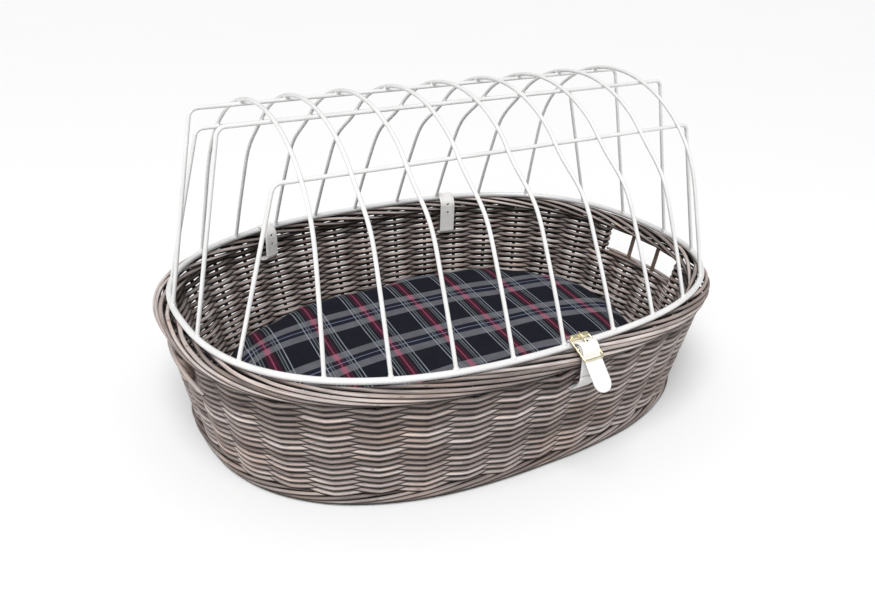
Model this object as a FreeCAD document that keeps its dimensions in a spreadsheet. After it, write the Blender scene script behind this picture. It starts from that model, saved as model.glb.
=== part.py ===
import FreeCAD, Part
import Sketcher
import math
import os
from FreeCAD import Vector

# Oval wicker pet basket with a hinged wire cage, three leather straps and a cushion.
# Millimetres. +Z is up, the ground is z = 0, +X is the long axis, -Y is the front.

doc = FreeCAD.newDocument("pet_basket")
sheet = doc.addObject("Spreadsheet::Sheet", "Sizes")

SIZES = [
    # wire cage
    ("hoop_half_length", 300.0), ("hoop_half_width", 212.5), ("plan_power", 2.5),
    ("hoop_height", 141.0), ("hoop_wire", 6.5), ("cage_wire", 4.0), ("cage_shift", 5.0),
    ("rail_circle", 140.0), ("rail_circle_lift", 57.0),
    ("upper_rail_y", 37.0), ("lower_rail_y", 98.0),
    ("upper_rail_left", -265.0), ("upper_rail_right", 252.0),
    ("lower_rail_left", -242.0), ("lower_rail_right", 237.0),
    ("rail_bend", 9.0), ("weld_bite", 0.1),
    # woven wall, border and base
    ("wall_bottom_half_length", 284.0), ("wall_bottom_half_width", 203.0),
    ("wall_top_half_length", 307.0), ("wall_top_half_width", 225.0),
    ("wall_thickness", 12.0), ("wall_bottom_z", 12.0), ("wall_top_z", 120.5),
    ("border_half_length", 300.0), ("border_half_width", 218.0),
    ("border_width", 24.0), ("lid_gap", 0.3),
    ("foot_half_length", 286.0), ("foot_half_width", 205.0), ("foot_width", 15.0),
    ("base_bottom_z", 0.0), ("base_thickness", 10.0),
    ("stake_count", 38.0), ("first_stake", 0.2), ("stake_size", 5.0), ("channel_play", 0.05),
    ("handle_sill_z", 87.0), ("sill_rod", 4.4), ("sill_rod_offset", 5.1),
    # cushion
    ("cushion_half_length", 262.0), ("cushion_half_width", 181.0),
    ("cushion_height", 55.0), ("cover_thickness", 1.6), ("cushion_lift_off", 0.3),
    # leather straps
    ("strap_width", 20.0), ("strap_thickness", 2.2), ("strap_play", 0.3),
    ("front_strap_x", 10.5), ("rear_left_x", -133.0), ("rear_right_x", 129.0),
    ("hinge_y", 216.0), ("hinge_z", 142.4), ("fold_radius", 1.25), ("strap_part_z", 117.5),
    ("front_slot_z", 99.0), ("rear_left_slot_z", 103.0), ("rear_right_slot_z", 92.0),
    ("strap_hole", 2.4), ("slant_room", 2.8),
    ("rivet_head", 7.0), ("rivet_lift", 1.4),
    # buckle
    ("frame_width", 26.4), ("frame_length", 26.8), ("frame_bar", 2.6), ("frame_tilt", 26.4),
    ("roller_outer", 5.2), ("roller_length", 20.6), ("pin_play", 0.06),
    ("prong_width", 2.6), ("prong_thickness", 1.6),
]
for row, (alias, value) in enumerate(SIZES, start=1):
    sheet.set("A%d" % row, alias)
    sheet.set("B%d" % row, str(value))
    sheet.setAlias("B%d" % row, alias)
doc.recompute()

ARCH_TOPS = (-216.0, -171.0, -117.0, -62.0, -6.0, 50.0, 105.5, 163.0, 217.5)
ARCH_FEET = (-229.0, -179.0, -123.0, -66.5, -9.5, 52.5, 111.0, 170.0, 229.0)
SHEET_VALUES = {alias: float(sheet.get(alias)) for alias, _ in SIZES}


def size(alias):
    """One driving dimension, as read from the sheet."""
    return SHEET_VALUES[alias]


def part(name, shape):
    """Add a code-made solid; its placement is set after its shape."""
    feature = doc.addObject("Part::Feature", name)
    feature.Label = name
    feature.Shape = shape
    feature.Placement = shape.Placement
    return feature


def oval_point(half_length, half_width, angle, height):
    """A point of the basket's rounded-oval plan curve."""
    power = 2.0 / size("plan_power")
    cosine = math.cos(angle)
    sine = math.sin(angle)
    along = half_length * math.copysign(abs(cosine) ** power, cosine)
    across = half_width * math.copysign(abs(sine) ** power, sine)
    return Vector(along, across, height)


def hoop_point(angle):
    """A point of the cage's hoop, which sits a little to the right of the basket's centre."""
    return oval_point(RIM[0], RIM[1], angle, HOOP_Z).add(CAGE_SHIFT)


def hoop_width_at(along):
    """Distance of the hoop's centre line from the long axis."""
    return oval_width_at(RIM[0], RIM[1], along - CAGE_SHIFT.x)


def oval_width_at(half_length, half_width, along):
    """Half width of the plan curve at a distance along the basket."""
    power = size("plan_power")
    return half_width * (1.0 - abs(along / half_length) ** power) ** (1.0 / power)


def oval_length_at(half_length, half_width, across):
    """Half length of the plan curve at a distance across the basket."""
    power = size("plan_power")
    return half_length * (1.0 - abs(across / half_width) ** power) ** (1.0 / power)


def oval_angles(count, half_length, half_width, shift=0.5):
    """Angles that split the plan curve into equal lengths."""
    steps = 4000
    lengths = [0.0]
    last = oval_point(half_length, half_width, 0.0, 0.0)
    for index in range(1, steps + 1):
        point = oval_point(half_length, half_width, 2.0 * math.pi * index / steps, 0.0)
        lengths.append(lengths[-1] + point.distanceToPoint(last))
        last = point
    angles = []
    position = 0
    for index in range(count):
        target = lengths[-1] * (index + shift) / count
        while lengths[position] < target:
            position += 1
        angles.append(2.0 * math.pi * position / steps)
    return angles


PLAN_ANGLES = oval_angles(48, size("hoop_half_length"), size("hoop_half_width"), 0.0)


def oval_wire(half_length, half_width, height):
    """Closed smooth plan curve at a height."""
    points = [oval_point(half_length, half_width, angle, height) for angle in PLAN_ANGLES]
    curve = Part.BSplineCurve()
    curve.interpolate(Points=points, PeriodicFlag=True)
    return Part.Wire(curve.toShape())


def oval_block(sections):
    """Solid lofted through (half length, half width, height) sections."""
    wires = [oval_wire(*section) for section in sections]
    return Part.makeLoft(wires, True, True)


def sweep(path_shape, section, plane_normal):
    """Solid made by moving a closed section along a flat path."""
    maker = Part.BRepOffsetAPI.MakePipeShell(Part.Wire(path_shape))
    maker.setBiNormalMode(plane_normal)
    maker.add(section)
    maker.build()
    maker.makeSolid()
    return maker.shape()


def swept_rod(curve_points, diameter, plane_normal, closed=False):
    """Round rod along a smooth flat curve through points."""
    curve = Part.BSplineCurve()
    if closed:
        curve.interpolate(Points=curve_points, PeriodicFlag=True)
    else:
        curve.interpolate(Points=curve_points)
    tangent = curve.tangent(curve.FirstParameter)[0]
    circle = Part.Wire(Part.makeCircle(diameter / 2.0, curve_points[0], tangent))
    return sweep(curve.toShape(), circle, plane_normal)


def straight_rod(start, end, diameter):
    """Round rod between two points."""
    return Part.makeCylinder(diameter / 2.0, start.distanceToPoint(end), start, end.sub(start))


# ---------------------------------------------------------------- wire cage

UP = Vector(0.0, 0.0, 1.0)
RIM = (size("hoop_half_length"), size("hoop_half_width"))
WELD_REACH = size("hoop_wire") / 2.0 - size("weld_bite")
HOOP_Z = size("hoop_height")
HOOP_TOP = HOOP_Z + size("hoop_wire") / 2.0
CAGE_SHIFT = Vector(size("cage_shift"), 0.0, 0.0)
hoop_shape = swept_rod([hoop_point(angle) for angle in PLAN_ANGLES], size("hoop_wire"), UP, closed=True)
nodes = [part("cage_hoop", hoop_shape)]

ARCH_CENTRE_Z = HOOP_Z + size("rail_circle_lift")
ARCH_RADIUS = size("rail_circle") + size("cage_wire") - size("weld_bite")
ARCH_TOP_Z = ARCH_CENTRE_Z + ARCH_RADIUS


def welded_end(on_hoop, toward):
    """End of a wire that meets the hoop's surface, pointing at its centre line."""
    return on_hoop.add(toward.sub(on_hoop).normalize().multiply(WELD_REACH))


def arch_points(foot_x, top_x, side):
    """Centre line of one arch leg, from its foot up to the crown's shoulder."""
    foot_y = oval_width_at(RIM[0], RIM[1], foot_x)
    shoulder = math.radians(49.0)
    shoulder_y = ARCH_RADIUS * math.sin(shoulder)
    outline = [(foot_y, HOOP_Z)]
    for lift, share in ((42.0, 0.810), (84.0, 0.602), (120.0, 0.382)):
        outline.append((shoulder_y + (foot_y - shoulder_y) * share, HOOP_Z + lift))
    for step in range(5):
        angle = shoulder * (1.0 - step / 5.0)
        outline.append((ARCH_RADIUS * math.sin(angle), ARCH_CENTRE_Z + ARCH_RADIUS * math.cos(angle)))
    points = []
    for across, up in outline:
        share = (up - HOOP_Z) / (ARCH_TOP_Z - HOOP_Z)
        points.append(Vector(foot_x + (top_x - foot_x) * share, side * across, up).add(CAGE_SHIFT))
    points[0] = welded_end(points[0], points[1])
    return points


for index, top_x in enumerate(ARCH_TOPS):
    front = arch_points(ARCH_FEET[index], top_x, -1.0)
    back = arch_points(ARCH_FEET[index], top_x, 1.0)
    crown = [Vector(top_x, 0.0, ARCH_TOP_Z).add(CAGE_SHIFT)]
    lean = Vector(ARCH_TOP_Z - HOOP_Z, 0.0, ARCH_FEET[index] - top_x).normalize()
    arch = swept_rod(front + crown + back[::-1], size("cage_wire"), lean)
    nodes.append(part("cage_arch_%d" % (index + 1), arch))


def rail_shape(side, rail_y, left_x, right_x):
    """Rail along the cage, bent down at both ends onto the hoop."""
    rail_z = ARCH_CENTRE_Z + math.sqrt(size("rail_circle") ** 2 - rail_y ** 2)
    bend = size("rail_bend")
    hoop_x = oval_length_at(RIM[0], RIM[1], rail_y)
    across = side * rail_y
    top_left = Vector(left_x, across, rail_z).add(CAGE_SHIFT)
    top_right = Vector(right_x, across, rail_z).add(CAGE_SHIFT)
    foot_left = welded_end(Vector(-hoop_x, across, HOOP_Z).add(CAGE_SHIFT), top_left)
    foot_right = welded_end(Vector(hoop_x, across, HOOP_Z).add(CAGE_SHIFT), top_right)
    stops = [foot_left, top_left, top_right, foot_right]
    edges = []
    start = foot_left
    for index in (1, 2):
        corner = stops[index]
        back = stops[index - 1].sub(corner).normalize()
        ahead = stops[index + 1].sub(corner).normalize()
        half_angle = back.getAngle(ahead) / 2.0
        setback = bend / math.tan(half_angle)
        enter = corner.add(Vector(back).multiply(setback))
        leave = corner.add(Vector(ahead).multiply(setback))
        inward = back.add(ahead).normalize()
        middle = corner.add(inward.multiply(bend / math.sin(half_angle) - bend))
        edges.append(Part.makeLine(start, enter))
        edges.append(Part.Arc(enter, middle, leave).toShape())
        start = leave
    edges.append(Part.makeLine(start, foot_right))
    circle = Part.makeCircle(size("cage_wire") / 2.0, foot_left, top_left.sub(foot_left))
    return sweep(edges, Part.Wire(circle), Vector(0.0, 1.0, 0.0))


for label, rail_y, side in (("upper_back", "upper_rail_y", 1.0), ("lower_back", "lower_rail_y", 1.0),
                            ("upper_front", "upper_rail_y", -1.0), ("lower_front", "lower_rail_y", -1.0)):
    level = rail_y.split("_")[0]
    rail = rail_shape(side, size(rail_y), size(level + "_rail_left"), size(level + "_rail_right"))
    nodes.append(part("cage_rail_" + label, rail))

# ------------------------------------------------------- wall, stakes, border

WALL_LOW = (size("wall_bottom_half_length"), size("wall_bottom_half_width"), size("wall_bottom_z"))
WALL_HIGH = (size("wall_top_half_length"), size("wall_top_half_width"), size("wall_top_z"))


def wall_size_at(height, inset):
    """Half length and half width of the wall's outline at a height."""
    share = (height - WALL_LOW[2]) / (WALL_HIGH[2] - WALL_LOW[2])
    return (WALL_LOW[0] + (WALL_HIGH[0] - WALL_LOW[0]) * share - inset,
            WALL_LOW[1] + (WALL_HIGH[1] - WALL_LOW[1]) * share - inset)


def flared_block(inset, low, high):
    """Solid between two heights that follows the wall's flare."""
    bottom = wall_size_at(low, inset)
    top = wall_size_at(high, inset)
    return oval_block([(bottom[0], bottom[1], low), (top[0], top[1], high)])


def surface_y(height, inset, along):
    """Distance of the wall's surface from the long axis."""
    half_length, half_width = wall_size_at(height, inset)
    return oval_width_at(half_length, half_width, along)


thick = size("wall_thickness")
wall_cutters = [flared_block(thick, WALL_LOW[2] - 5.0, WALL_HIGH[2] + 5.0)]

count = int(size("stake_count"))
middle_size = wall_size_at((WALL_LOW[2] + WALL_HIGH[2]) / 2.0, thick / 2.0)
stake_angles = oval_angles(count, *middle_size, shift=size("first_stake"))


def stake_ends(angle):
    """Foot and head of the stake at a plan angle, in the middle of the wall."""
    low = wall_size_at(WALL_LOW[2], thick / 2.0)
    high = wall_size_at(WALL_HIGH[2], thick / 2.0)
    return (oval_point(low[0], low[1], angle, WALL_LOW[2]),
            oval_point(high[0], high[1], angle, WALL_HIGH[2]))


# Each hand-hole has two bare stakes in it and a woven stake at each edge.
HANDLE = (0, count // 2 - 1, count // 2, count - 1)
edge_room = size("stake_size") * 0.5 + 2.4
window_back = stake_ends(stake_angles[1])[1].y - edge_room
window_front = stake_ends(stake_angles[count - 2])[1].y + edge_room
window_wide = window_back - window_front
window_middle = (window_back + window_front) / 2.0
window_reach = size("wall_top_half_length")
sill_z = size("handle_sill_z")
for side in (-1.0, 1.0):
    start_x = min(side * window_reach * 0.75, side * window_reach * 1.1)
    corner = Vector(start_x, side * window_middle - window_wide / 2.0, sill_z)
    wall_cutters.append(Part.makeBox(window_reach * 0.35, window_wide, 60.0, corner))

wall_stakes = []
handle_stakes = []
channel = size("stake_size") + 2.0 * size("channel_play")
for index, angle in enumerate(stake_angles):
    foot, head = stake_ends(angle)
    lean = head.sub(foot).normalize()
    stake_foot = foot.add(Vector(lean).multiply(0.6))
    stake_head = head.sub(Vector(lean).multiply(0.6))
    stake = straight_rod(stake_foot, stake_head, size("stake_size"))
    wall_cutters.append(straight_rod(foot.sub(Vector(lean).multiply(6.0)),
                                     head.add(Vector(lean).multiply(6.0)), channel))
    if index in HANDLE:
        handle_stakes.append(stake)
    else:
        wall_stakes.append(stake)


# ------------------------------------------------------------- leather straps

half_leather = size("strap_thickness") / 2.0


def strap(points, x_centre, width=None, thickness=None):
    """Leather strip: a side outline offset from its centre line, then widened."""
    width = size("strap_width") if width is None else width
    half = half_leather if thickness is None else thickness / 2.0
    curve = Part.BSplineCurve()
    curve.interpolate(Points=[Vector(0.0, y, z) for y, z in points])
    first = curve.FirstParameter
    last = curve.LastParameter
    samples = 12 * len(points)
    upper = []
    lower = []
    for index in range(samples + 1):
        parameter = first + (last - first) * index / samples
        centre = curve.value(parameter)
        tangent = curve.tangent(parameter)[0]
        normal = Vector(0.0, -tangent.z, tangent.y).multiply(half)
        upper.append(centre.add(normal))
        lower.append(centre.sub(normal))
    upper_curve = Part.BSplineCurve()
    upper_curve.interpolate(Points=upper)
    lower_curve = Part.BSplineCurve()
    lower_curve.interpolate(Points=lower)
    outline = Part.Wire([upper_curve.toShape(), Part.makeLine(upper[-1], lower[-1]),
                         lower_curve.toShape(), Part.makeLine(lower[0], upper[0])])
    solid = Part.Face(outline).extrude(Vector(width, 0.0, 0.0))
    solid.translate(Vector(x_centre - width / 2.0, 0.0, 0.0))
    return solid


def parted(shape, x_centre, y_centre):
    """A strap cut back to leave play where it is parted, just under the border."""
    width = size("strap_width") + 2.0
    play = Part.makeBox(width, 10.0, 2.0 * gap, Vector(x_centre - width / 2.0, y_centre - 5.0, part_z - gap))
    return shape.cut(play)


gap = size("strap_play")
wire_half = size("hoop_wire") / 2.0
wrap = wire_half + gap + half_leather
part_z = size("strap_part_z")
front_x = size("front_strap_x")

# Buckle plane: roller bar above the wire, keeper bar outside the border.
tilt = math.radians(size("frame_tilt"))
along_frame = Vector(0.0, -math.cos(tilt), -math.sin(tilt))
frame_normal = Vector(0.0, -math.sin(tilt), math.cos(tilt))
hoop_y = -hoop_width_at(front_x)
roller_centre = Vector(front_x, hoop_y - 1.0,
                       HOOP_TOP + 2.0 * gap + size("strap_thickness") + size("roller_outer") / 2.0)
half_frame = size("frame_length") / 2.0
centre_bar = roller_centre.add(Vector(along_frame).multiply(half_frame))
keeper_bar = roller_centre.add(Vector(along_frame).multiply(2.0 * half_frame))
bar_half = size("frame_bar") / 2.0


def off_frame(base, along, up):
    """Side-view point measured along the buckle and away from its plane."""
    point = base.add(Vector(along_frame).multiply(along)).add(Vector(frame_normal).multiply(up))
    return (point.y, point.z)


inner_y = -(size("border_half_width") - size("border_width") / 2.0) + 1.0 + half_leather
over_bar = bar_half + size("strap_thickness") + gap + half_leather
under_bar = bar_half + gap + half_leather
billet_path = [(inner_y, part_z + gap), (inner_y, part_z + 9.0), (inner_y - 0.2, HOOP_Z - 4.0),
               (hoop_y + wrap * 0.92, HOOP_Z + wrap * 0.40), (hoop_y + wrap * 0.62, HOOP_Z + wrap * 0.79),
               (hoop_y - 0.6, HOOP_Z + wrap + 0.05)]
billet_path += [off_frame(centre_bar, -8.8, -1.9), off_frame(centre_bar, -4.9, 2.9),
                off_frame(centre_bar, 0.0, over_bar + 0.3), off_frame(centre_bar, 4.8, over_bar - 1.4),
                off_frame(keeper_bar, -2.9, -under_bar + 1.1), off_frame(keeper_bar, 0.6, -under_bar - 0.15),
                off_frame(keeper_bar, 8.0, -under_bar - 3.0), off_frame(keeper_bar, 18.0, -under_bar - 6.8),
                off_frame(keeper_bar, 29.0, -under_bar - 11.5)]
billet = strap(billet_path, front_x)
billet = parted(billet, front_x, inner_y)
tip_edges = [edge for edge in billet.Edges
             if edge.Length < size("strap_thickness") * 1.01 and edge.CenterOfMass.y < hoop_y - 35.0]
billet = billet.makeFillet(size("strap_width") * 0.46, tip_edges)

slot_width = size("prong_width") + 2.4
prong_slot = Part.makeBox(slot_width, 7.9, 20.0,
                          Vector(front_x - slot_width / 2.0, centre_bar.y - 0.3, centre_bar.z - 2.0))
billet = billet.cut(prong_slot)
nodes.append(part("front_strap_billet", billet))

outer_y = -(size("border_half_width") + size("border_width") / 2.0) - 1.2 - half_leather
chape_wrap = bar_half + size("channel_play") + half_leather
chape_path = []
for step in range(9):
    angle = math.radians(200.0 - step * 22.5)
    chape_path.append(off_frame(centre_bar, math.cos(angle) * chape_wrap, math.sin(angle) * chape_wrap))
chape_path += [(outer_y + 2.0, HOOP_Z - 1.5), (outer_y + 0.3, HOOP_Z - 6.0),
               (outer_y, HOOP_Z - 12.0), (outer_y, part_z + gap)]
chape = parted(strap(chape_path, front_x), front_x, outer_y)
eye_room = Part.makeBox(slot_width, 12.0, 9.0,
                        Vector(front_x - slot_width / 2.0, centre_bar.y - 6.0, centre_bar.z - 4.5))
chape = chape.cut(eye_room)
nodes.append(part("front_strap_chape", chape))


def anchor_strap(name, x_centre, path, *parted_at):
    """Strap threaded through the woven wall, which is cut back round it."""
    wall_cutters.append(strap(path, x_centre, size("strap_width") + 0.6, size("strap_thickness") + 0.6))
    solid = strap(path, x_centre)
    for leg_y in parted_at:
        solid = parted(solid, x_centre, leg_y)
    nodes.append(part(name, solid))
    return solid


slot_z = size("front_slot_z")
face_out = -surface_y(slot_z, 0.0, front_x)
face_in = -surface_y(slot_z, thick, front_x)
anchor_strap("front_strap_anchor", front_x, [
    (outer_y, part_z - gap), (outer_y + 0.6, part_z - 5.0), (outer_y + 4.6, part_z - 12.0),
    (face_out - 1.5, slot_z + 1.0), (face_out + 3.0, slot_z), (face_in - 3.0, slot_z),
    (face_in + 1.8, slot_z + 0.6), (inner_y - 0.4, slot_z + 4.0), (inner_y, slot_z + 9.0),
    (inner_y, part_z - gap)], inner_y, outer_y)

for side in ("left", "right"):
    x_centre = size("rear_%s_x" % side)
    wire_y = hoop_width_at(x_centre)
    half_border = size("border_width") / 2.0
    border_in = oval_width_at(size("border_half_length") - half_border,
                              size("border_half_width") - half_border, x_centre)
    border_out = oval_width_at(size("border_half_length") + half_border,
                               size("border_half_width") + half_border, x_centre)
    # The wire and the border cross the strap at a slant, so the strap stands off by slant_room.
    slant = size("slant_room")
    leg_in = border_in - 1.6 - slant - half_leather
    leg_out = border_out + 0.9 + slant + half_leather
    flex_y = size("hinge_y")
    flex_z = size("hinge_z")
    flap = strap([(leg_in, part_z + gap), (leg_in, part_z + 9.0), (leg_in + 0.2, HOOP_Z - 4.0),
                  (wire_y - slant - wrap * 0.92, HOOP_Z + wrap * 0.40),
                  (wire_y - slant - wrap * 0.62, HOOP_Z + wrap * 0.79), (wire_y - slant, HOOP_Z + wrap + 0.05),
                  (wire_y + slant, HOOP_Z + wrap + 0.05), (flex_y - 4.0, flex_z + 1.1),
                  (flex_y, flex_z)], x_centre)
    flap = parted(flap, x_centre, leg_in)
    for height in (123.5, 134.0):
        drill = Part.makeCylinder(size("strap_hole") / 2.0, 12.0,
                                  Vector(x_centre, leg_in - 6.0, height), Vector(0.0, 1.0, 0.0))
        flap = flap.cut(drill)
    fold = Part.makeCylinder(size("fold_radius"), size("strap_width"),
                             Vector(x_centre - size("strap_width") / 2.0, flex_y, flex_z), Vector(1.0, 0.0, 0.0))
    nodes.append(part("rear_strap_%s_flap" % side, flap.fuse(fold)))
    slot_z = size("rear_%s_slot_z" % side)
    face_out = surface_y(slot_z, 0.0, x_centre)
    face_in = surface_y(slot_z, thick, x_centre)
    start_y = flex_y + size("fold_radius") + 3.0 * gap
    anchor_path = [
        (start_y, flex_z), (start_y + 2.8, flex_z - 0.6), (leg_out - 0.8, flex_z - 4.0),
        (leg_out, HOOP_Z - 9.0), (leg_out, part_z - 2.0), (leg_out - 3.6, part_z - 9.5),
        (face_out + 1.5, slot_z + 1.0), (face_out - 3.0, slot_z), (face_in + 3.0, slot_z),
        (face_in - 0.6, slot_z + 0.6), (leg_in + 0.3, slot_z + 4.0), (leg_in, slot_z + 8.0),
        (leg_in, (slot_z + part_z) / 2.0 + 4.0), (leg_in, part_z - gap)]
    anchor = anchor_strap("rear_strap_%s_anchor" % side, x_centre, anchor_path, leg_in)
    rivet = Part.makeCylinder(size("rivet_head") / 2.0, size("rivet_lift") + 0.4,
                              Vector(x_centre, leg_out + half_leather - 0.4, part_z + 8.0), Vector(0.0, 1.0, 0.0))
    rim_edge = [edge for edge in rivet.Edges if edge.CenterOfMass.y > leg_out + half_leather + 1.0
                and edge.Length > 5.0]
    rivet = rivet.makeFillet(0.9, rim_edge[:1]).cut(anchor)
    nodes.append(part("rear_rivet_%s" % side, rivet))

wall = flared_block(0.0, WALL_LOW[2], WALL_HIGH[2]).cut(wall_cutters)
nodes.append(part("basket_wall", wall))
nodes.append(part("wall_stakes", Part.makeCompound(wall_stakes)))
nodes.append(part("handle_stakes", Part.makeCompound(handle_stakes)))

# Rods that edge the bottom of each hand-hole, inside and outside its two stakes.
for name, side in (("left", -1.0), ("right", 1.0)):
    rods = []
    for offset in (-size("sill_rod_offset"), size("sill_rod_offset")):
        half_length, half_width = wall_size_at(sill_z + size("sill_rod") / 2.0, thick / 2.0 + offset)
        points = []
        for step in range(9):
            across = side * window_middle + (window_wide / 2.0 - 1.0) * (step / 4.0 - 1.0)
            along = side * oval_length_at(half_length, half_width, across)
            points.append(Vector(along, across, sill_z + size("sill_rod") / 2.0))
        rods.append(swept_rod(points, size("sill_rod"), UP))
    nodes.append(part("handle_sill_" + name, Part.makeCompound(rods)))

border_low = size("wall_top_z")
border_high = HOOP_Z - wire_half - size("lid_gap")
border_tall = border_high - border_low
start_x = size("border_half_length")


def border_spot(offset, share):
    """Point of the border's section: across it, and a share of its height."""
    return Vector(start_x + offset * half_border, 0.0, border_low + share * border_tall)


section = Part.Wire([
    Part.makeLine(border_spot(-0.67, 0.0), border_spot(0.67, 0.0)),
    Part.Arc(border_spot(0.67, 0.0), border_spot(1.0, 0.48), border_spot(0.58, 0.92)).toShape(),
    Part.Arc(border_spot(0.58, 0.92), border_spot(0.0, 1.0), border_spot(-0.58, 0.92)).toShape(),
    Part.Arc(border_spot(-0.58, 0.92), border_spot(-1.0, 0.48), border_spot(-0.67, 0.0)).toShape()])
border_path = oval_wire(size("border_half_length"), size("border_half_width"), border_low)
nodes.append(part("woven_border", sweep(border_path.Edges, section, UP)))

# -------------------------------------------------------------- foot and base

foot_size = (size("foot_half_length"), size("foot_half_width"))
foot = oval_block([(foot_size[0] - inset, foot_size[1] - inset, height)
                   for inset, height in ((1.8, 0.0), (0.0, 3.0), (0.0, 9.0), (1.2, size("wall_bottom_z")))])
foot_inner = (foot_size[0] - size("foot_width"), foot_size[1] - size("foot_width"))
foot = foot.cut(oval_block([(foot_inner[0], foot_inner[1], -5.0), (foot_inner[0], foot_inner[1], 20.0)]))
nodes.append(part("foot_wale", foot))
base_low = size("base_bottom_z")
base_high = base_low + size("base_thickness")
nodes.append(part("basket_base", oval_block([(foot_inner[0], foot_inner[1], base_low),
                                             (foot_inner[0], foot_inner[1], base_high)])))

# -------------------------------------------------------------------- cushion

CUSHION_SECTIONS = ((0.0, 15.0), (0.07, 6.5), (0.2, 1.2), (0.38, 0.0), (0.58, 3.0), (0.74, 9.0),
                    (0.85, 18.0), (0.93, 34.0), (0.98, 60.0), (1.0, 96.0))


def cushion_block(shrink):
    """Crowned oval pad, smaller all round by a skin thickness."""
    sections = []
    low = base_high + size("cushion_lift_off") + shrink
    tall = size("cushion_height") - 2.0 * shrink
    for share, inset in CUSHION_SECTIONS:
        sections.append((size("cushion_half_length") - inset - shrink,
                         size("cushion_half_width") - inset - shrink, low + share * tall))
    return oval_block(sections)


filling = cushion_block(size("cover_thickness"))
nodes.append(part("cushion_cover", cushion_block(0.0).cut(filling)))
nodes.append(part("cushion_filling", filling))

# --------------------------------------------------------------------- buckle

buckle_matrix = FreeCAD.Matrix(-1.0, 0.0, 0.0, centre_bar.x,
                               0.0, along_frame.y, frame_normal.y, centre_bar.y,
                               0.0, along_frame.z, frame_normal.z, centre_bar.z,
                               0.0, 0.0, 0.0, 1.0)
buckle_placement = FreeCAD.Placement(buckle_matrix)


def bar(name, along, expression_length, expression_radius):
    """Round bar of the buckle, lying across it."""
    cylinder = doc.addObject("Part::Cylinder", name)
    cylinder.setExpression("Height", expression_length)
    cylinder.setExpression("Radius", expression_radius)
    cylinder.Placement = FreeCAD.Placement(Vector(0.0, 0.0, 0.0),
                                           FreeCAD.Rotation(Vector(0.0, 1.0, 0.0), 90.0))
    cylinder.setExpression("Placement.Base.x", "-(%s) / 2" % expression_length)
    cylinder.setExpression("Placement.Base.y", along)
    return cylinder


frame_parts = [
    bar("frame_roller_bar", "-Sizes.frame_length / 2", "Sizes.frame_width - 1", "Sizes.frame_bar / 2"),
    bar("frame_centre_bar", "0", "Sizes.frame_width - 1", "Sizes.frame_bar / 2"),
    bar("frame_keeper_bar", "Sizes.frame_length / 2", "Sizes.frame_width - 1", "Sizes.frame_bar / 2"),
]
for name, sign in (("frame_side_a", "-"), ("frame_side_b", "")):
    cheek = doc.addObject("Part::Box", name)
    cheek.setExpression("Length", "Sizes.frame_bar")
    cheek.setExpression("Width", "Sizes.frame_length + Sizes.frame_bar")
    cheek.setExpression("Height", "Sizes.frame_bar")
    cheek.setExpression("Placement.Base.x",
                        "%s(Sizes.frame_width - Sizes.frame_bar) / 2 - Sizes.frame_bar / 2" % sign)
    cheek.setExpression("Placement.Base.y", "-(Sizes.frame_length + Sizes.frame_bar) / 2")
    cheek.setExpression("Placement.Base.z", "-Sizes.frame_bar / 2")
    frame_parts.append(cheek)
frame = doc.addObject("Part::MultiFuse", "front_buckle_frame")
frame.Label = "front_buckle_frame"
frame.Shapes = frame_parts
frame.Placement = buckle_placement
nodes.append(frame)

roller_skin = bar("roller_skin", "-Sizes.frame_length / 2", "Sizes.roller_length", "Sizes.roller_outer / 2")
roller_bore = bar("roller_bore", "-Sizes.frame_length / 2", "Sizes.roller_length + 2",
                  "Sizes.frame_bar / 2 + Sizes.pin_play")
roller = doc.addObject("Part::Cut", "front_buckle_roller")
roller.Label = "front_buckle_roller"
roller.Base = roller_skin
roller.Tool = roller_bore
roller.Placement = buckle_placement
nodes.append(roller)

prong = doc.addObject("PartDesign::Body", "front_buckle_prong")
prong.Label = "front_buckle_prong"


def origin_plane(body, role):
    """The body's own origin plane with this role."""
    for feature in body.Origin.OriginFeatures:
        if feature.Role == role:
            return feature
    raise ValueError(role)


def side_sketch(body, name):
    """Sketch on the body's side plane."""
    sketch = body.newObject("Sketcher::SketchObject", name)
    sketch.AttachmentSupport = [(origin_plane(body, "YZ_Plane"), "")]
    sketch.MapMode = "FlatFace"
    return sketch


def round_sketch(body, name, radius_expression):
    """Circle about the bar's centre, with its radius bound to the sheet."""
    sketch = side_sketch(body, name)
    sketch.addGeometry(Part.Circle(Vector(0.0, 0.0, 0.0), Vector(0.0, 0.0, 1.0), 2.0), False)
    sketch.addConstraint(Sketcher.Constraint("Coincident", 0, 3, -1, 1))
    sketch.addConstraint(Sketcher.Constraint("Radius", 0, 2.0))
    sketch.setExpression("Constraints[1]", radius_expression)
    return sketch


def centred_pad(body, name, sketch, kind="PartDesign::Pad"):
    """Pad or pocket, evenly on both sides of the side plane."""
    feature = body.newObject(kind, name)
    feature.Profile = sketch
    feature.Midplane = True
    return feature


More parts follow.
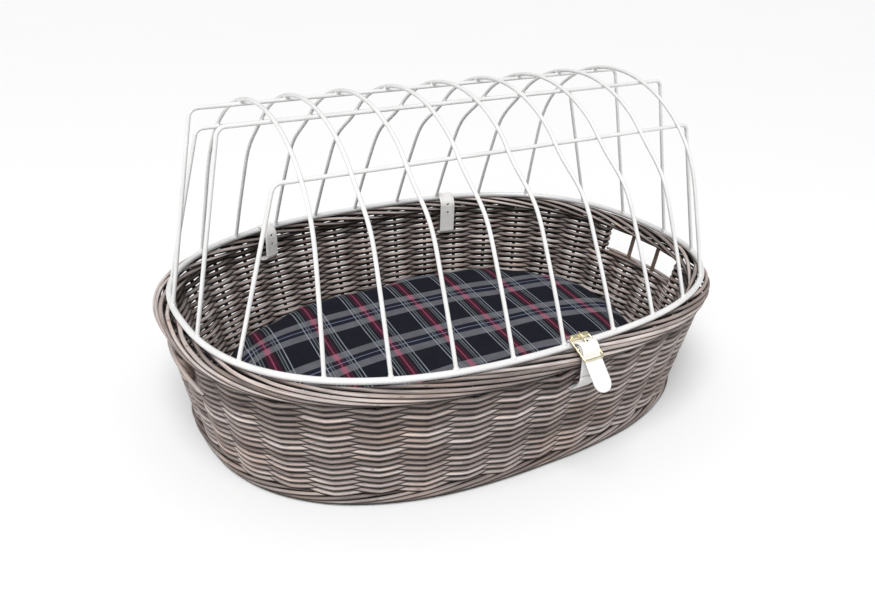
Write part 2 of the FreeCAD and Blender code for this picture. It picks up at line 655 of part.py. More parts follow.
eye_pad = centred_pad(prong, "ProngEye", round_sketch(prong, "EyeSketch",
                      "Sizes.frame_bar / 2 + Sizes.pin_play + 1.2"))
eye_pad.setExpression("Length", "Sizes.prong_width")
shank_sketch = side_sketch(prong, "ShankSketch")
reach = size("frame_length") / 2.0
rest = size("roller_outer") / 2.0 + gap
thin = size("prong_thickness")
shank = [(-0.6, 1.6), (-2.0, 0.9), (-4.2, 4.5), (-reach + 4.5, rest + 1.2), (-reach, rest),
         (-reach - 3.0, rest - 0.5), (-reach - 3.4, rest + 0.6), (-reach, rest + thin),
         (-reach + 4.5, rest + 1.2 + thin), (-3.9, 4.6 + 1.6 * thin)]
for index, corner in enumerate(shank):
    following = shank[(index + 1) % len(shank)]
    shank_sketch.addGeometry(Part.LineSegment(Vector(corner[0], corner[1], 0.0),
                                              Vector(following[0], following[1], 0.0)), False)
shank_pad = centred_pad(prong, "ProngShank", shank_sketch)
shank_pad.setExpression("Length", "Sizes.prong_width")
bore = centred_pad(prong, "ProngBore", round_sketch(prong, "BoreSketch",
                   "Sizes.frame_bar / 2 + Sizes.pin_play"), "PartDesign::Pocket")
bore.Length = 20.0
prong.Placement = buckle_placement
nodes.append(prong)

doc.recompute()
os.makedirs("parts", exist_ok=True)
for item in doc.Objects:
    if "Invalid" in item.State or "Error" in item.State:
        raise RuntimeError("feature failed: " + item.Label)
for item in nodes:
    if item.Shape.isNull() or not item.Shape.isValid():
        raise RuntimeError("bad shape: " + item.Label)
    item.Shape.exportStep("parts/%s.step" % item.Label)
    box = item.Shape.BoundBox
    print("%-28s vol %10.1f  z %7.2f..%7.2f  y %8.2f..%8.2f  x %8.2f..%8.2f solids %d" % (
        item.Label, item.Shape.Volume, box.ZMin, box.ZMax, box.YMin, box.YMax, box.XMin, box.XMax,
        len(item.Shape.Solids)))
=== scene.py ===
import math

import bmesh
import bpy
import numpy as np
from mathutils import Matrix, Vector


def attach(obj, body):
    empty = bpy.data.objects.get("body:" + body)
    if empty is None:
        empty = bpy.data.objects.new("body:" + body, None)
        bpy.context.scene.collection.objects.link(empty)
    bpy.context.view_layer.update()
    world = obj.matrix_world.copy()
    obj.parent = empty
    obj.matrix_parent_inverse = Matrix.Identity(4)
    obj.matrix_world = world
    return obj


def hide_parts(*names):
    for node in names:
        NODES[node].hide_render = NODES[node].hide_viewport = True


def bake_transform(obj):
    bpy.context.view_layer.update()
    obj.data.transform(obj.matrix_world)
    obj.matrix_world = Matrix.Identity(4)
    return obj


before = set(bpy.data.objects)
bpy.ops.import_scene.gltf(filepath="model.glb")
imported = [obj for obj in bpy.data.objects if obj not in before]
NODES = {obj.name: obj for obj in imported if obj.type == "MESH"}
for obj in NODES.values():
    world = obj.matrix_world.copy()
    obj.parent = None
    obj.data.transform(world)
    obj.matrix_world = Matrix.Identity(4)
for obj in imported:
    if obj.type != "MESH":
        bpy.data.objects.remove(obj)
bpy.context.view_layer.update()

# Wicker pet basket with a hinged wire cage: woven willow, leather, brass and plaid cloth.
# Metres. +Z is up, the ground is z = 0, +X is the long axis, -Y is the front.

MM = 0.001
TURN = 2.0 * math.pi
rng = np.random.default_rng(11)
scene = bpy.context.scene

# ---- plan and wall

POWER = 2.5
STAKES = 38
FIRST_STAKE = 0.2
BARE_STAKES = (0, 18, 19, 37)
WALL_LOW = (284.0, 203.0, 12.0)
WALL_HIGH = (307.0, 225.0, 120.5)
WALL_THICK = 12.0
HOOP = (300.0, 212.5, 141.0)
HOOP_WIRE = 3.25  # radius of the hoop's wire
CAGE_X = 5.0
BORDER = (300.0, 218.0)
BORDER_HALF = 12.0  # half the width of the plaited border
FRONT_X = 10.5
FRONT_SLOT_Z = 99.0
SLOTS_Z = 100  # about where the straps go through
REAR_STRAPS = (("left", -133.0, 103.0, 14.0), ("right", 129.0, 92.0, 0.0))


def oval(half_length, half_width, angle):
    """Rounded-oval plan curve, in millimetres."""
    c, s = np.cos(angle), np.sin(angle)
    return (half_length * np.sign(c) * np.abs(c) ** (2 / POWER),
            half_width * np.sign(s) * np.abs(s) ** (2 / POWER))


def oval_y(half_length, half_width, x):
    return half_width * (1 - abs(x / half_length) ** POWER) ** (1 / POWER)


def hoop_y(x):
    return oval_y(HOOP[0], HOOP[1], x)


def oval_x(half_length, half_width, y):
    return half_length * (1 - abs(y / half_width) ** POWER) ** (1 / POWER)


def wall_at(z, inset):
    """Half length and half width of the wall's outline at a height."""
    share = (z - WALL_LOW[2]) / (WALL_HIGH[2] - WALL_LOW[2])
    return (WALL_LOW[0] + (WALL_HIGH[0] - WALL_LOW[0]) * share - inset,
            WALL_LOW[1] + (WALL_HIGH[1] - WALL_LOW[1]) * share - inset)


_angles = np.linspace(0, TURN, 20001)
_x, _y = oval(*wall_at((WALL_LOW[2] + WALL_HIGH[2]) / 2, WALL_THICK / 2), _angles)
_length = np.concatenate([[0], np.cumsum(np.hypot(np.diff(_x), np.diff(_y)))])
_pitch = STAKES * _length / _length[-1] - FIRST_STAKE


def angle_at(u):
    """Plan angle at a place counted in stakes: stake i stands at u = i."""
    u = np.asarray(u, float)
    whole = np.floor((u + FIRST_STAKE) / STAKES)
    return np.interp(u - whole * STAKES, _pitch, _angles) + whole * TURN


def stake_place(x, y):
    """The place, counted in stakes, nearest to a plan point."""
    u = np.linspace(0, STAKES, 4000) - FIRST_STAKE
    px, py = oval(*wall_at(SLOTS_Z, WALL_THICK / 2), angle_at(u))
    return float(u[np.argmin(np.hypot(px - x, py - y))])


def around(half_length, half_width, u, out, z):
    """Points along the oval, pushed outward, as an (n, 3) array in millimetres."""
    angle = angle_at(u)
    x, y = oval(half_length, half_width, angle)
    x2, y2 = oval(half_length, half_width, angle_at(np.asarray(u) + 0.02))
    x1, y1 = oval(half_length, half_width, angle_at(np.asarray(u) - 0.02))
    tx, ty = x2 - x1, y2 - y1
    size = np.hypot(tx, ty)
    return np.stack([x + ty / size * out, y - tx / size * out, z + 0 * x], 1)


def wander(u, size, cycles=9):
    """Smooth seeded unevenness along a rod that closes on itself."""
    total = 0 * np.asarray(u, float)
    for k in range(1, cycles + 1):
        height = rng.normal()
        wave = np.sin(TURN * (round(k * 2.3) * u / STAKES + rng.random()))
        total += height * wave / math.sqrt(k)
    return size * total / 2.0


# ---- meshes

def place_object(name, data):
    obj = bpy.data.objects.new(name, data)
    scene.collection.objects.link(obj)
    return obj


def shade_smooth(mesh):
    mesh.polygons.foreach_set("use_smooth", [True] * len(mesh.polygons))


def mesh_object(name, verts, faces, smooth=True):
    mesh = bpy.data.meshes.new(name)
    mesh.from_pydata([tuple(v) for v in verts], [], [tuple(f) for f in faces])
    mesh.update()
    if smooth:
        shade_smooth(mesh)
    return place_object(name, mesh)


PAINTED_SHADE_FADE = 0.6  # how softly a rod's painted shade fades in from open to deep in the weave
CROSSING_SHADE = 0.6  # how much painted shade the crossings inside the basket get


class Rods:
    """Collects round rods into one mesh, with each rod's own coordinates for its grain."""

    def __init__(self):
        self.verts, self.faces, self.grain, self.tint, self.painted_shade = [], [], [], [], []
        self.count = 0

    def add(self, points, radius, sides=8, closed=False, up=(0, 0, 1), tint=None, face=None,
            edge=0.15):
        """points in millimetres; radius is a number or one per point.

        face is the direction, across the rod, in which each point meets the open air. The far
        side of the rod is marked for painted shade, as if deep in the weave.
        """
        p = np.asarray(points, float)
        n = len(p)
        r = np.broadcast_to(np.asarray(radius, float), (n,))
        if closed:
            tangent = np.roll(p, -1, 0) - np.roll(p, 1, 0)
            gaps = np.linalg.norm(np.roll(p, -1, 0) - p, axis=1)
        else:
            tangent = np.gradient(p, axis=0)
            gaps = np.append(np.linalg.norm(np.diff(p, axis=0), axis=1), 0)
        tangent /= np.linalg.norm(tangent, axis=1)[:, None]
        side = np.cross(tangent, np.array(up, float))
        side /= np.linalg.norm(side, axis=1)[:, None]
        top = np.cross(side, tangent)
        theta = TURN * np.arange(sides) / sides
        ring = (side[:, None, :] * np.cos(theta)[None, :, None]
                + top[:, None, :] * np.sin(theta)[None, :, None]) * r[:, None, None]
        verts = (p[:, None, :] + ring).reshape(-1, 3) * MM
        along = np.concatenate([[0], np.cumsum(gaps)[:-1]]) + rng.random() * 5000
        grain = np.stack([np.repeat(along, sides), np.tile(np.cos(theta), n) * np.repeat(r, sides),
                          np.tile(np.sin(theta), n) * np.repeat(r, sides)], 1)
        i = np.arange(n if closed else n - 1)[:, None]
        j = np.arange(sides)[None, :]
        i2, j2 = (i + 1) % n, (j + 1) % sides
        quads = np.stack(np.broadcast_arrays(i * sides + j, i * sides + j2,
                                             i2 * sides + j2, i2 * sides + j), -1).reshape(-1, 4)
        faces = (quads[:, ::-1] + self.count).tolist()
        if not closed:
            faces.append([self.count + k for k in range(sides)])
            faces.append([self.count + (n - 1) * sides + k for k in range(sides)][::-1])
        self.verts.append(verts)
        self.faces += faces
        self.grain.append(grain)
        value = rng.random() if tint is None else tint
        self.tint.append(np.repeat(np.broadcast_to(np.asarray(value, float), (n,)), sides))
        # Painted shade: the far side of each rod, away from the open air, is marked to be darkened.
        painted_shade = np.zeros((n, sides))
        if face is not None:
            toward = face[:, :1] * np.cos(theta) + face[:, 1:] * np.sin(theta)
            exposed = np.linalg.norm(face, axis=1)[:, None]
            painted_shade = np.clip((edge - toward) / PAINTED_SHADE_FADE, 0, 1) * exposed
            # Inside the basket the crossings lie in shadow.
            inward = -(side * p * (1.0, 1.8, 0.0)).sum(1) / np.linalg.norm(p, axis=1)
            inward = np.clip(inward[:, None] * np.cos(theta), 0, 1)
            painted_shade = np.clip(painted_shade + CROSSING_SHADE * inward * (1.0 - exposed), 0, 1)
        self.painted_shade.append(painted_shade.ravel())
        self.count += n * sides

    def make(self, name, material):
        obj = mesh_object(name, np.concatenate(self.verts), self.faces)
        for label, kind, field, parts in (("grain", "FLOAT_VECTOR", "vector", self.grain),
                                          ("tint", "FLOAT", "value", self.tint),
                                          ("painted_shade", "FLOAT", "value", self.painted_shade)):
            layer = obj.data.attributes.new(label, kind, "POINT")
            layer.data.foreach_set(field, np.concatenate(parts).astype(np.float32).ravel())
        obj.data.materials.append(material)
        return obj


# ---- materials

class Shader:
    """Short way to write a node material around one Principled shader."""

    def __init__(self, name, roughness=0.5, **sockets):
        self.material = bpy.data.materials.new(name)
        self.material.use_nodes = True
        self.tree = self.material.node_tree
        self.surface = self.tree.nodes["Principled BSDF"]
        self.surface.inputs["Roughness"].default_value = roughness
        for socket, value in sockets.items():
            self.surface.inputs[socket.replace("_", " ")].default_value = value

    def node(self, kind, inputs=None, **settings):
        node = self.tree.nodes.new("ShaderNode" + kind)
        for key, value in settings.items():
            setattr(node, key, value)
        for key, value in (inputs or {}).items():
            self.put(node.inputs[key], value)
        return node

    def put(self, socket, value):
        if isinstance(value, bpy.types.NodeSocket):
            self.tree.links.new(value, socket)
        else:
            socket.default_value = value

    def math(self, operation, a, b=0.0, c=0.0, clamp=False):
        node = self.node("Math", {0: a, 1: b, 2: c}, operation=operation, use_clamp=clamp)
        return node.outputs[0]

    def vector(self, operation, a, b=(0, 0, 0)):
        return self.node("VectorMath", {0: a, 1: b}, operation=operation).outputs[0]

    def noise(self, where, scale, detail=3.0, rough=0.55):
        return self.node("TexNoise", {"Vector": where, "Scale": scale, "Detail": detail,
                                      "Roughness": rough}).outputs["Fac"]

    def ramp(self, value, stops):
        node = self.node("ValToRGB", {"Fac": value})
        elements = node.color_ramp.elements
        for k, (place, colour) in enumerate(stops):
            element = elements[k] if k < 2 else elements.new(place)
            element.position = place
            element.color = (*colour, 1)
        return node.outputs["Color"]

    def mix(self, share, a, b, blend="MIX"):
        node = self.node("Mix", data_type="RGBA", blend_type=blend)
        self.put(node.inputs["Factor"], share)
        for index, value in ((6, a), (7, b)):
            if isinstance(value, tuple) and len(value) == 3:
                value = (*value, 1)
            self.put(node.inputs[index], value)
        return node.outputs[2]

    def spread(self, value, low, high, to_low=0.0, to_high=1.0):
        return self.node("MapRange", {"Value": value, "From Min": low, "From Max": high,
                                      "To Min": to_low, "To Max": to_high}).outputs[0]

    def here(self):
        return self.node("TexCoord").outputs["Object"]

    def finish(self, colour, bump=None, distance=0.0005, strength=0.6, roughness=None):
        self.put(self.surface.inputs["Base Color"], colour)
        if bump is not None:
            node = self.node("Bump", {"Height": bump, "Strength": strength, "Distance": distance})
            self.put(self.surface.inputs["Normal"], node.outputs[0])
        if roughness is not None:
            self.put(self.surface.inputs["Roughness"], roughness)
        return self.material


def willow(name, dark, middle, light, from_rods=True):
    """Grey-washed willow: streaks along each rod, rod to rod change, patches of bare tan."""
    s = Shader(name, 0.62, Specular_IOR_Level=0.35)
    place = s.here()
    if from_rods:
        grain = s.node("Attribute", attribute_name="grain").outputs["Vector"]
        tint = s.node("Attribute", attribute_name="tint").outputs["Fac"]
    else:
        grain = s.vector("SCALE", place)
        s.put(grain.node.inputs["Scale"], 1000.0)
        tint = s.noise(place, 40.0, 1.0)
    streaks = s.noise(s.vector("MULTIPLY", grain, (0.045, 1.3, 1.3)), 1.0, 4.0, 0.65)
    slow = s.noise(s.vector("MULTIPLY", grain, (0.014, 0.16, 0.16)), 1.0, 2.0)
    patches = s.noise(place, 17.0, 2.0)
    level = s.math("ADD", s.math("MULTIPLY", streaks, 0.62),
                   s.math("ADD", s.math("MULTIPLY", slow, 0.42), s.math("MULTIPLY", tint, 0.30)))
    colour = s.ramp(level, ((0.40, dark), (0.68, middle), (0.95, light)))
    warm = s.mix(0.42, colour, (0.50, 0.34, 0.24), "MULTIPLY")
    warm = s.mix(1.0, warm, (1.35, 1.35, 1.35), "MULTIPLY")
    colour = s.mix(s.spread(s.math("ADD", patches, s.math("MULTIPLY", slow, 0.4)), 0.70, 0.94),
                   colour, warm)
    knots = s.noise(s.vector("MULTIPLY", grain, (0.09, 0.35, 0.35)), 1.0, 1.0)
    colour = s.mix(s.spread(knots, 0.70, 0.78, 0.0, 0.55), colour, tuple(0.5 * v for v in dark))
    if from_rods:
        # Painted shade: each rod's underside is darkened as if shaded from the light above, and its top
        # stays light.
        height = s.node("SeparateXYZ", {0: grain}).outputs[2]
        colour = s.mix(s.spread(height, -0.4, 0.8, 0.97, 0.0), colour, tuple(0.05 * v for v in dark))
        # Painted shade: rod sides deep in the weave and the crossings inside the basket are darkened.
        painted_shade = s.node("Attribute", attribute_name="painted_shade").outputs["Fac"]
        colour = s.mix(s.math("MULTIPLY", painted_shade, 0.98), colour, tuple(0.08 * v for v in dark))
    rough = s.spread(streaks, 0.3, 0.7, 0.52, 0.78)
    return s.finish(colour, s.math("ADD", streaks, s.math("MULTIPLY", knots, 0.5)),
                    0.0005, 0.55, rough)


WILLOW = willow("willow_weave",
                (0.080, 0.061, 0.056), (0.370, 0.305, 0.283), (0.74, 0.66, 0.63))
WILLOW_BORDER = willow("willow_border",
                       (0.090, 0.070, 0.063), (0.350, 0.292, 0.272), (0.78, 0.70, 0.67))
WILLOW_FOOT = willow("willow_foot",
                     (0.060, 0.045, 0.040), (0.270, 0.222, 0.205), (0.56, 0.50, 0.47))
# Bare handle stakes: brown willow, darkened further as painted shade of stakes seen against the light.
WILLOW_BARE_SHADED = willow("willow_bare_shaded",
                     (0.050, 0.032, 0.025), (0.140, 0.095, 0.072), (0.26, 0.20, 0.165), False)
# Stakes and base sticks: willow made very dark as painted shade for the gaps between the rods.
WILLOW_STAKE_SHADE = willow("willow_stake",
                     (0.030, 0.018, 0.014), (0.095, 0.060, 0.045), (0.19, 0.14, 0.115))


def wire_coat():
    s = Shader("wire_coat", 0.2, Coat_Weight=0.35, Coat_Roughness=0.08)
    place = s.here()
    peel = s.noise(place, 900.0, 2.0)
    colour = s.ramp(s.noise(place, 35.0, 3.0),
                    ((0.3, (0.70, 0.70, 0.695)), (0.7, (0.78, 0.78, 0.775))))
    return s.finish(colour, peel, 0.0002, 0.25, s.spread(peel, 0.3, 0.7, 0.16, 0.28))


def leather(name, light, dark):
    """Leather with fine grain, faint creases and slightly soiled patches."""
    s = Shader(name, 0.5, Specular_IOR_Level=0.45)
    place = s.here()
    cells = s.node("TexVoronoi", {"Vector": place, "Scale": 1500.0},
                   feature="DISTANCE_TO_EDGE").outputs[0]
    pores = s.noise(place, 2600.0, 2.0)
    soil = s.noise(place, 90.0, 4.0, 0.6)
    creases = s.noise(s.vector("MULTIPLY", place, (150.0, 900.0, 900.0)), 1.0, 3.0)
    colour = s.mix(s.spread(soil, 0.45, 0.75, 0.0, 0.5), light, dark)
    colour = s.mix(s.spread(creases, 0.58, 0.72, 0.0, 0.35), colour, dark)
    height = s.math("ADD", s.math("MULTIPLY", cells, 1.6),
                    s.math("ADD", s.math("MULTIPLY", pores, 0.4), s.math("MULTIPLY", creases, 0.5)))
    return s.finish(colour, height, 0.0004, 0.5, s.spread(pores, 0.3, 0.7, 0.42, 0.6))


def brass():
    s = Shader("pale_brass", 0.24, Metallic=1.0)
    place = s.here()
    wear = s.noise(place, 260.0, 4.0, 0.6)
    scratches = s.noise(s.vector("MULTIPLY", place, (200.0, 2500.0, 2500.0)), 1.0, 3.0)
    colour = s.ramp(wear, ((0.3, (0.82, 0.72, 0.42)), (0.55, (0.93, 0.86, 0.60)),
                           (0.75, (0.96, 0.92, 0.74))))
    return s.finish(colour, scratches, 0.0001, 0.3, s.spread(wear, 0.35, 0.7, 0.18, 0.36))


PLAIN_THREADS = 1400.0 * 3.0


def plain_cloth(name, light, dark):
    s = Shader(name, 0.85, Specular_IOR_Level=0.2)
    place = s.here()
    axes = s.node("SeparateXYZ", {0: place})
    threads = s.math("MULTIPLY", *(s.math("SINE", s.math("MULTIPLY", axes.outputs[k], PLAIN_THREADS))
                                   for k in (0, 1)))
    colour = s.mix(s.spread(s.math("ADD", threads, s.noise(place, 300.0, 3.0)), -0.6, 1.4), dark, light)
    return s.finish(colour, threads, 0.0003, 0.5)


def stripes(s, place, items, ground):
    """Threads across one direction: (centre, half width, colour) on a ground colour."""
    colour = ground
    for centre, half, tone in items:
        distance = s.math("ABSOLUTE", s.math("SUBTRACT", place, centre))
        share = s.spread(distance, half - 0.18, half + 0.18, 1.0, 0.0)
        colour = s.mix(share, colour, tone)
    return colour


NAVY = (0.0080, 0.0090, 0.0170)
WARP_REPEAT, WEFT_REPEAT = 65.4, 84.4
WARP_START, WEFT_START = -9.5, 63.0
CLOTH_LEAN, CLOTH_BOW = 0.15, 0.00046
CLOTH_SHOULDER = 58.0  # height at which the cushion's sides begin
GREY_AT = 14.0  # centre of the grey bands, from the middle of the repeat
TWILL_PITCH, THREAD_PITCH = 1.7, 0.9


def plaid():
    """Twill check: red and fine pale stripes one way, grey bands and a blue line the other."""
    s = Shader("plaid_cloth", 0.9, Specular_IOR_Level=0.08, Sheen_Weight=0.02, Sheen_Roughness=0.5)
    axes = s.node("SeparateXYZ", {0: s.here()})
    x, y, z = (s.math("MULTIPLY", axes.outputs[k], 1000.0) for k in range(3))
    lean = s.math("SUBTRACT", x, s.math("MULTIPLY", y, CLOTH_LEAN))
    bow = s.math("MULTIPLY", s.math("MULTIPLY", x, x), CLOTH_BOW)
    run = s.math("ADD", s.math("ADD", y, bow), s.math("MULTIPLY", x, 0.02))
    # On the cushion's steep sides the cloth runs down, so its check follows the height there.
    drop = s.math("MAXIMUM", s.math("SUBTRACT", CLOTH_SHOULDER, z), 0.0)
    sides = s.node("SeparateXYZ", {0: s.node("NewGeometry").outputs["Normal"]})
    lean = s.math("ADD", lean, s.math("MULTIPLY", drop, s.math("MULTIPLY", sides.outputs[0], 0.8)))
    run = s.math("ADD", run, s.math("MULTIPLY", drop, s.math("MULTIPLY", sides.outputs[1], 0.8)))
    warp_at = s.math("PINGPONG", s.math("SUBTRACT", lean, WARP_START), WARP_REPEAT / 2)
    weft_at = s.math("PINGPONG", s.math("SUBTRACT", run, WEFT_START), WEFT_REPEAT / 2)
    pale = (0.40, 0.43, 0.49)
    slate = (0.019, 0.024, 0.032)
    warp = stripes(s, warp_at, ((10.6, 2.3, slate), (9.2, 0.45, (0.17, 0.19, 0.21)),
                                (12.2, 0.5, (0.24, 0.28, 0.30)), (16.3, 0.5, pale),
                                (0.0, 6.2, (0.027, 0.008, 0.015)), (0.0, 3.0, (0.075, 0.011, 0.026)),
                                (4.4, 0.4, (0.09, 0.022, 0.040)), (0.0, 0.7, (0.38, 0.075, 0.15))), NAVY)
    weft = stripes(s, weft_at, ((GREY_AT, 6.3, (0.165, 0.168, 0.188)), (4.0, 3.2, (0.011, 0.013, 0.026)),
                                (0.0, 0.6, (0.26, 0.28, 0.42))), NAVY)
    # Twill: fine diagonals show the two sets of threads in turn.
    diagonal = s.math("SINE", s.math("MULTIPLY", s.math("ADD", lean, run), TURN / TWILL_PITCH))
    across = s.math("SINE", s.math("MULTIPLY", s.math("SUBTRACT", lean, run), TURN / THREAD_PITCH))
    slub = s.noise(s.vector("MULTIPLY", s.here(), (1000.0, 1000.0, 1000.0)), 0.9, 3.0)
    share = s.math("ADD", 0.5, s.math("MULTIPLY", diagonal, 0.32))
    share = s.math("ADD", share, s.math("MULTIPLY", s.math("SUBTRACT", slub, 0.5), 1.1), clamp=True)
    colour = s.mix(share, warp, weft)
    colour = s.mix(0.55, colour, s.mix(1.0, warp, weft, "LIGHTEN"))
    # Red threads show brightest where they cross the grey bands.
    on_red = s.spread(warp_at, 3.2, 3.8, 1.0, 0.0)
    on_grey = s.spread(s.math("ABSOLUTE", s.math("SUBTRACT", weft_at, GREY_AT)), 6.0, 6.5, 1.0, 0.0)
    bright = s.math("MULTIPLY", s.math("MULTIPLY", on_red, on_grey), s.math("SUBTRACT", 1.1, share))
    colour = s.mix(bright, colour, (0.42, 0.11, 0.185))
    fuzz = s.spread(s.noise(s.here(), 60.0, 3.0), 0.3, 0.7, 0.86, 1.12)
    tone = s.node("CombineXYZ", {0: fuzz, 1: fuzz, 2: fuzz}).outputs[0]
    colour = s.mix(1.0, colour, tone, "MULTIPLY")
    height = s.math("ADD", diagonal, s.math("ADD", s.math("MULTIPLY", across, 0.4), slub))
    return s.finish(colour, height, 0.0004, 0.55)


WIRE = wire_coat()
LEATHER = leather("white_leather", (0.86, 0.85, 0.83), (0.74, 0.72, 0.69))
LEATHER_BACK = leather("leather_back", (0.66, 0.655, 0.65), (0.54, 0.53, 0.52))
THREAD = plain_cloth("stitch_thread", (0.78, 0.77, 0.74), (0.60, 0.59, 0.56))
PUNCHED = plain_cloth("punched_edge", (0.16, 0.14, 0.12), (0.08, 0.07, 0.06))
BRASS = brass()
PLAID = plaid()

# ---- weave of the wall

FIRST_ROW_Z = 13.6
ROW_PITCH = 3.56
ROWS = 31
ROD = 2.5  # radius of a weaving rod
SWING = 3.0  # how far a row stands off the wall's middle
STEPS = 16  # points along a row from one stake to the next
SILL_Z = 87.0
END_TURN = 0.095  # how far a row's end goes round its edge stake, counted in stakes
# The rows dip at each stake, most along the front.
dips = rng.uniform(1.5, 3.0, STAKES) * (0.55 - 0.45 * np.sin(TURN * np.arange(STAKES) / STAKES))
leans = rng.normal(0, 0.35, STAKES)
slots = [(stake_place(FRONT_X, -215.0), FRONT_SLOT_Z)]
slots += [(stake_place(x, 210.0), z) for _, x, z, _ in REAR_STRAPS]


def swing_at(u):
    """How far an even row stands out from the middle of the wall."""
    c = np.cos(math.pi * u)
    return -SWING * np.sign(c) * np.abs(c) ** 0.95


def row_face(u, row):
    """Which way each part of a row faces the open air: outward, inward or neither."""
    side = -1.0 if row % 2 else 1.0
    face = side * swing_at(u) / SWING
    return np.stack([face, 0 * face], 1)


def row_points(u, row, z):
    """One randing row: in front of one stake and behind the next, dipping at each."""
    side = -1.0 if row % 2 else 1.0
    out = side * swing_at(u)
    nearest = np.round(u).astype(int) % STAKES
    sag = dips[nearest] * (1.0 - np.sqrt(np.sin(math.pi * u) ** 2 + 0.004))
    z = z - sag + wander(u, 0.16)
    for place, height in slots:
        apart = np.abs((u - place + STAKES / 2) % STAKES - STAKES / 2)
        push = np.exp(-(apart / 0.34) ** 4) * np.exp(-np.abs(z - height) / 9.0)
        z = z + np.where(z > height, 1.5, -1.5) * push
    half_length, half_width = wall_at(z, WALL_THICK / 2)
    return around(half_length, half_width, u, out + wander(u, 0.12), z)


def row_radius(u, thick):
    return thick * (1.0 + 0.08 * np.sin(TURN * u) ** 2) + wander(u, 0.07)


def rod_tints(u):
    """Colour of the rods that follow one another along a row."""
    tint = np.zeros(len(u))
    start = rng.uniform(0, 14)
    place = u - u.min()
    edge = -start
    while edge < place.max():
        size = rng.uniform(11, 19)
        tint[(place >= edge) & (place <= edge + size)] = rng.random()
        edge += size
    return tint


def weave_wall():
    low, high_front, high_back = Rods(), Rods(), Rods()
    first_cut = next(k for k in range(ROWS) if FIRST_ROW_Z + k * ROW_PITCH > SILL_Z + 4.0)
    for row in range(first_cut):
        u = np.arange(STAKES * STEPS) / STEPS
        z = FIRST_ROW_Z + row * ROW_PITCH
        thick = ROD * rng.uniform(0.94, 1.06)
        target = low if row < first_cut / 2 else high_front
        target.add(row_points(u, row, z), row_radius(u, thick), closed=True, tint=rod_tints(u),
                   face=row_face(u, row))
    # Above the hand-holes' sills each side is woven to and fro round the edge stakes.
    for name, first, last in (("back", 1, 17), ("front", 20, 36)):
        path, radii, faces = [], [], []
        for row in range(first_cut, ROWS):
            z = FIRST_ROW_Z + row * ROW_PITCH
            u = np.arange(first * STEPS, last * STEPS + 1) / STEPS
            points = row_points(u, row, z)
            forward = (row - first_cut) % 2 == 0
            order = slice(None) if forward else slice(None, None, -1)
            path.append(points[order])
            radii.append(row_radius(u, ROD * rng.uniform(0.95, 1.05))[order])
            faces.append(row_face(u, row)[order] * (1.0 if forward else -1.0))
            if row < ROWS - 1:
                end_u = last if forward else first
                half_length, half_width = wall_at(z + ROW_PITCH / 2, WALL_THICK / 2)
                side = -1.0 if row % 2 else 1.0
                swing = side * float(swing_at(end_u))
                turn = np.linspace(0, math.pi, 9)[1:-1]
                reach = (1 if forward else -1) * END_TURN
                u_turn = end_u + reach * np.sin(turn)
                path.append(around(half_length, half_width, u_turn, swing * np.cos(turn),
                                   z + ROW_PITCH * turn / math.pi - dips[end_u]))
                radii.append(np.full(len(turn), ROD * 0.9))
                faces.append(np.zeros((len(turn), 2)))
        target = high_front if name == "front" else high_back
        joined = np.concatenate(path)
        runs = np.arange(len(joined)) / STEPS
        target.add(joined, np.concatenate(radii), tint=rod_tints(runs), face=np.concatenate(faces))
    return [low.make("weave_low", WILLOW), high_front.make("weave_front", WILLOW),
            high_back.make("weave_back", WILLOW)]


def upright(rods, index, low=4.0, high=126.0, radius=2.45):
    """One stake, from the foot up into the border."""
    heights = np.linspace(low, high, 12)
    wobble = wander(np.linspace(0, 6, 12), 0.25) + leans[index] * 0.02
    points = [around(*wall_at(z, WALL_THICK / 2), np.array([index + 0.004 * leans[index]]), w, z)[0]
              for z, w in zip(heights, wobble)]
    thick = radius * np.linspace(1.06, 0.94, 12) * rng.uniform(0.94, 1.04)
    rods.add(points, thick, sides=10, up=(1, 0.3, 0))


def sill_rods(rods, first, last, thick=2.2):
    """Rods that edge the bottom of a hand-hole, inside and outside its two stakes."""
    for out in (-5.1, 5.1):
        u = np.linspace(first, last, 30)
        points = around(*wall_at(SILL_Z + thick, WALL_THICK / 2), u, out + wander(u, 0.1),
                        SILL_Z + 2.6 + wander(u, 0.15))
        rods.add(points, thick * np.interp(np.linspace(0, 1, 30), [0, 0.08, 0.92, 1], [0.6, 1, 1, 0.6]))


walls = weave_wall()
stakes = Rods()
for index in range(STAKES):
    if index not in BARE_STAKES:
        upright(stakes, index)
wall_stakes = stakes.make("stakes", WILLOW_STAKE_SHADE)
bare = Rods()
for index in BARE_STAKES:
    upright(bare, index, radius=2.6)
bare_stakes = bare.make("handle_stakes_bare", WILLOW_BARE_SHADED)
sills = Rods()
sill_rods(sills, -1.95, 0.95)
sill_rods(sills, 17.05, 19.95)
sill_piece = sills.make("handle_sills", WILLOW)
for piece in walls + [wall_stakes, bare_stakes, sill_piece]:
    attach(piece, "basket")
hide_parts("basket_wall")
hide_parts("wall_stakes")
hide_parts("handle_stakes")
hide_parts("handle_sill_left", "handle_sill_right")

# ---- border and foot


